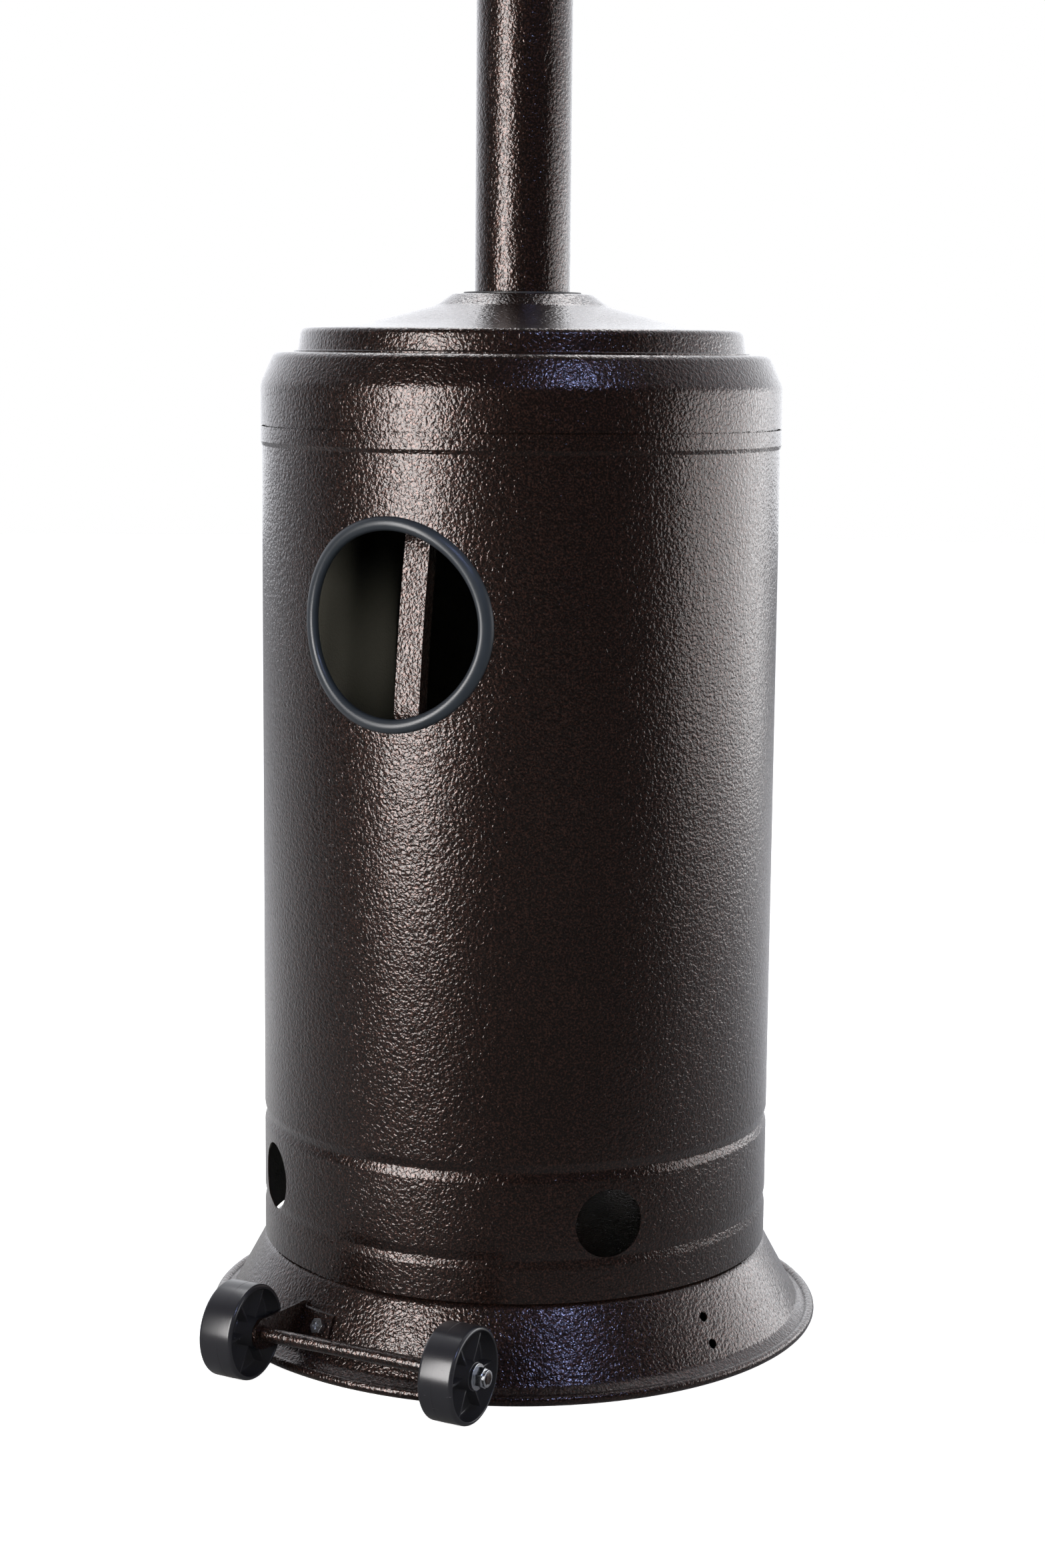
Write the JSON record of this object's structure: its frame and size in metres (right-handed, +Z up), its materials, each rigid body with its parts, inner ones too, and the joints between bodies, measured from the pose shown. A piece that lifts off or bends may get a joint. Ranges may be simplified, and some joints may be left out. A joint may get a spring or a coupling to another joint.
{
  "type": "outdoor heater",
  "caption": "Free-standing gas patio heater: wheeled base, lift-up cylindrical bottle housing, post, burner head and dish reflector.",
  "frame": {"origin": "on the floor under the middle of the base", "axes": "+Z up the post, -Y towards the front, where the wheels, the hand hole and the controls are, +X to the right seen from the front"},
  "size_m": [0.813, 0.8129, 2.21],
  "materials": {
    "bronze_paint": "hammered bronze enamel, glossy",
    "zinc": "bright zinc plate",
    "black_rubber": "satin",
    "wheel_plastic": "fine moulded grain",
    "black_plastic": "satin",
    "knob_plastic": "satin",
    "button_plastic": "gloss",
    "cast_aluminium": "die-cast",
    "brass": "machined",
    "copper": "drawn",
    "stainless": "rolled sheet",
    "ceramic": "glazed",
    "reflector_aluminium": "rolled sheet"
  },
  "bodies": {
    "stand": {"base_pan": "bronze_paint", "leg_front": "bronze_paint", "leg_right": "bronze_paint", "leg_left": "bronze_paint", "leg_foot_bolts": "zinc", "leg_foot_nuts": "zinc", "leg_top_bolts": "zinc", "leg_top_nuts": "zinc", "post_flange": "bronze_paint", "post": "bronze_paint", "wheel_axle": "bronze_paint", "wheel_bracket_right": "bronze_paint", "wheel_bracket_left": "bronze_paint", "bracket_bolts": "zinc", "bracket_nuts": "zinc", "axle_washers": "zinc", "axle_nuts": "zinc", "head_flange": "bronze_paint", "head_screws": "zinc", "burner_skirt": "bronze_paint", "control_bezel": "black_plastic", "gas_valve": "cast_aluminium", "gas_inlet": "brass", "injector": "brass", "igniter_body": "black_plastic", "igniter_nut": "black_plastic", "tilt_switch": "black_plastic", "burner_plate": "stainless", "venturi": "stainless", "burner": "stainless", "pilot_bracket": "stainless", "thermocouple": "copper", "spark_electrode": "ceramic", "emitter_screen": "stainless", "emitter_top": "stainless", "reflector_studs": "zinc", "stud_nuts": "zinc", "stud_spacers": "zinc", "reflector_panel_front": "reflector_aluminium", "reflector_panel_right": "reflector_aluminium", "reflector_panel_left": "reflector_aluminium", "reflector_cap": "reflector_aluminium", "seam_screws": "zinc", "wing_nuts": "zinc"},
    "housing": {"housing_cylinder": "bronze_paint", "hand_hole_trim": "black_rubber", "housing_rest_tabs": "bronze_paint", "housing_shoulder": "bronze_paint", "housing_lid": "bronze_paint", "post_bushing": "black_plastic"},
    "right_wheel": {"wheel_right": "wheel_plastic"},
    "left_wheel": {"wheel_left": "wheel_plastic"},
    "valve_slider": {"valve_spool": "brass"},
    "knob": {"valve_stem": "stainless", "control_knob": "knob_plastic"},
    "igniter": {"igniter_button": "button_plastic"}
  },
  "joints": [
    {"name": "housing_lift", "type": "slide", "parent": "stand", "child": "housing", "axis": [0, 0, 1], "range_m": [0, 0.95]},
    {"name": "right_wheel_spin", "type": "hinge", "parent": "stand", "child": "right_wheel", "pos_m": [0.0866, -0.241, 0.0343], "axis": [1, 0, 0], "continuous": true},
    {"name": "left_wheel_spin", "type": "hinge", "parent": "stand", "child": "left_wheel", "pos_m": [-0.0866, -0.241, 0.0343], "axis": [1, 0, 0], "continuous": true},
    {"name": "knob_push", "type": "slide", "parent": "stand", "child": "valve_slider", "axis": [0, 1, 0], "range_m": [0, 0.005], "stiffness_N_per_m": 800},
    {"name": "knob_turn", "type": "hinge", "parent": "valve_slider", "child": "knob", "pos_m": [-0.024, -0.118, 1.841], "axis": [0, -1, 0], "range_deg": [0, 180]},
    {"name": "igniter_press", "type": "slide", "parent": "stand", "child": "igniter", "axis": [0, 1, 0], "range_m": [0, 0.006], "stiffness_N_per_m": 600}
  ]
}
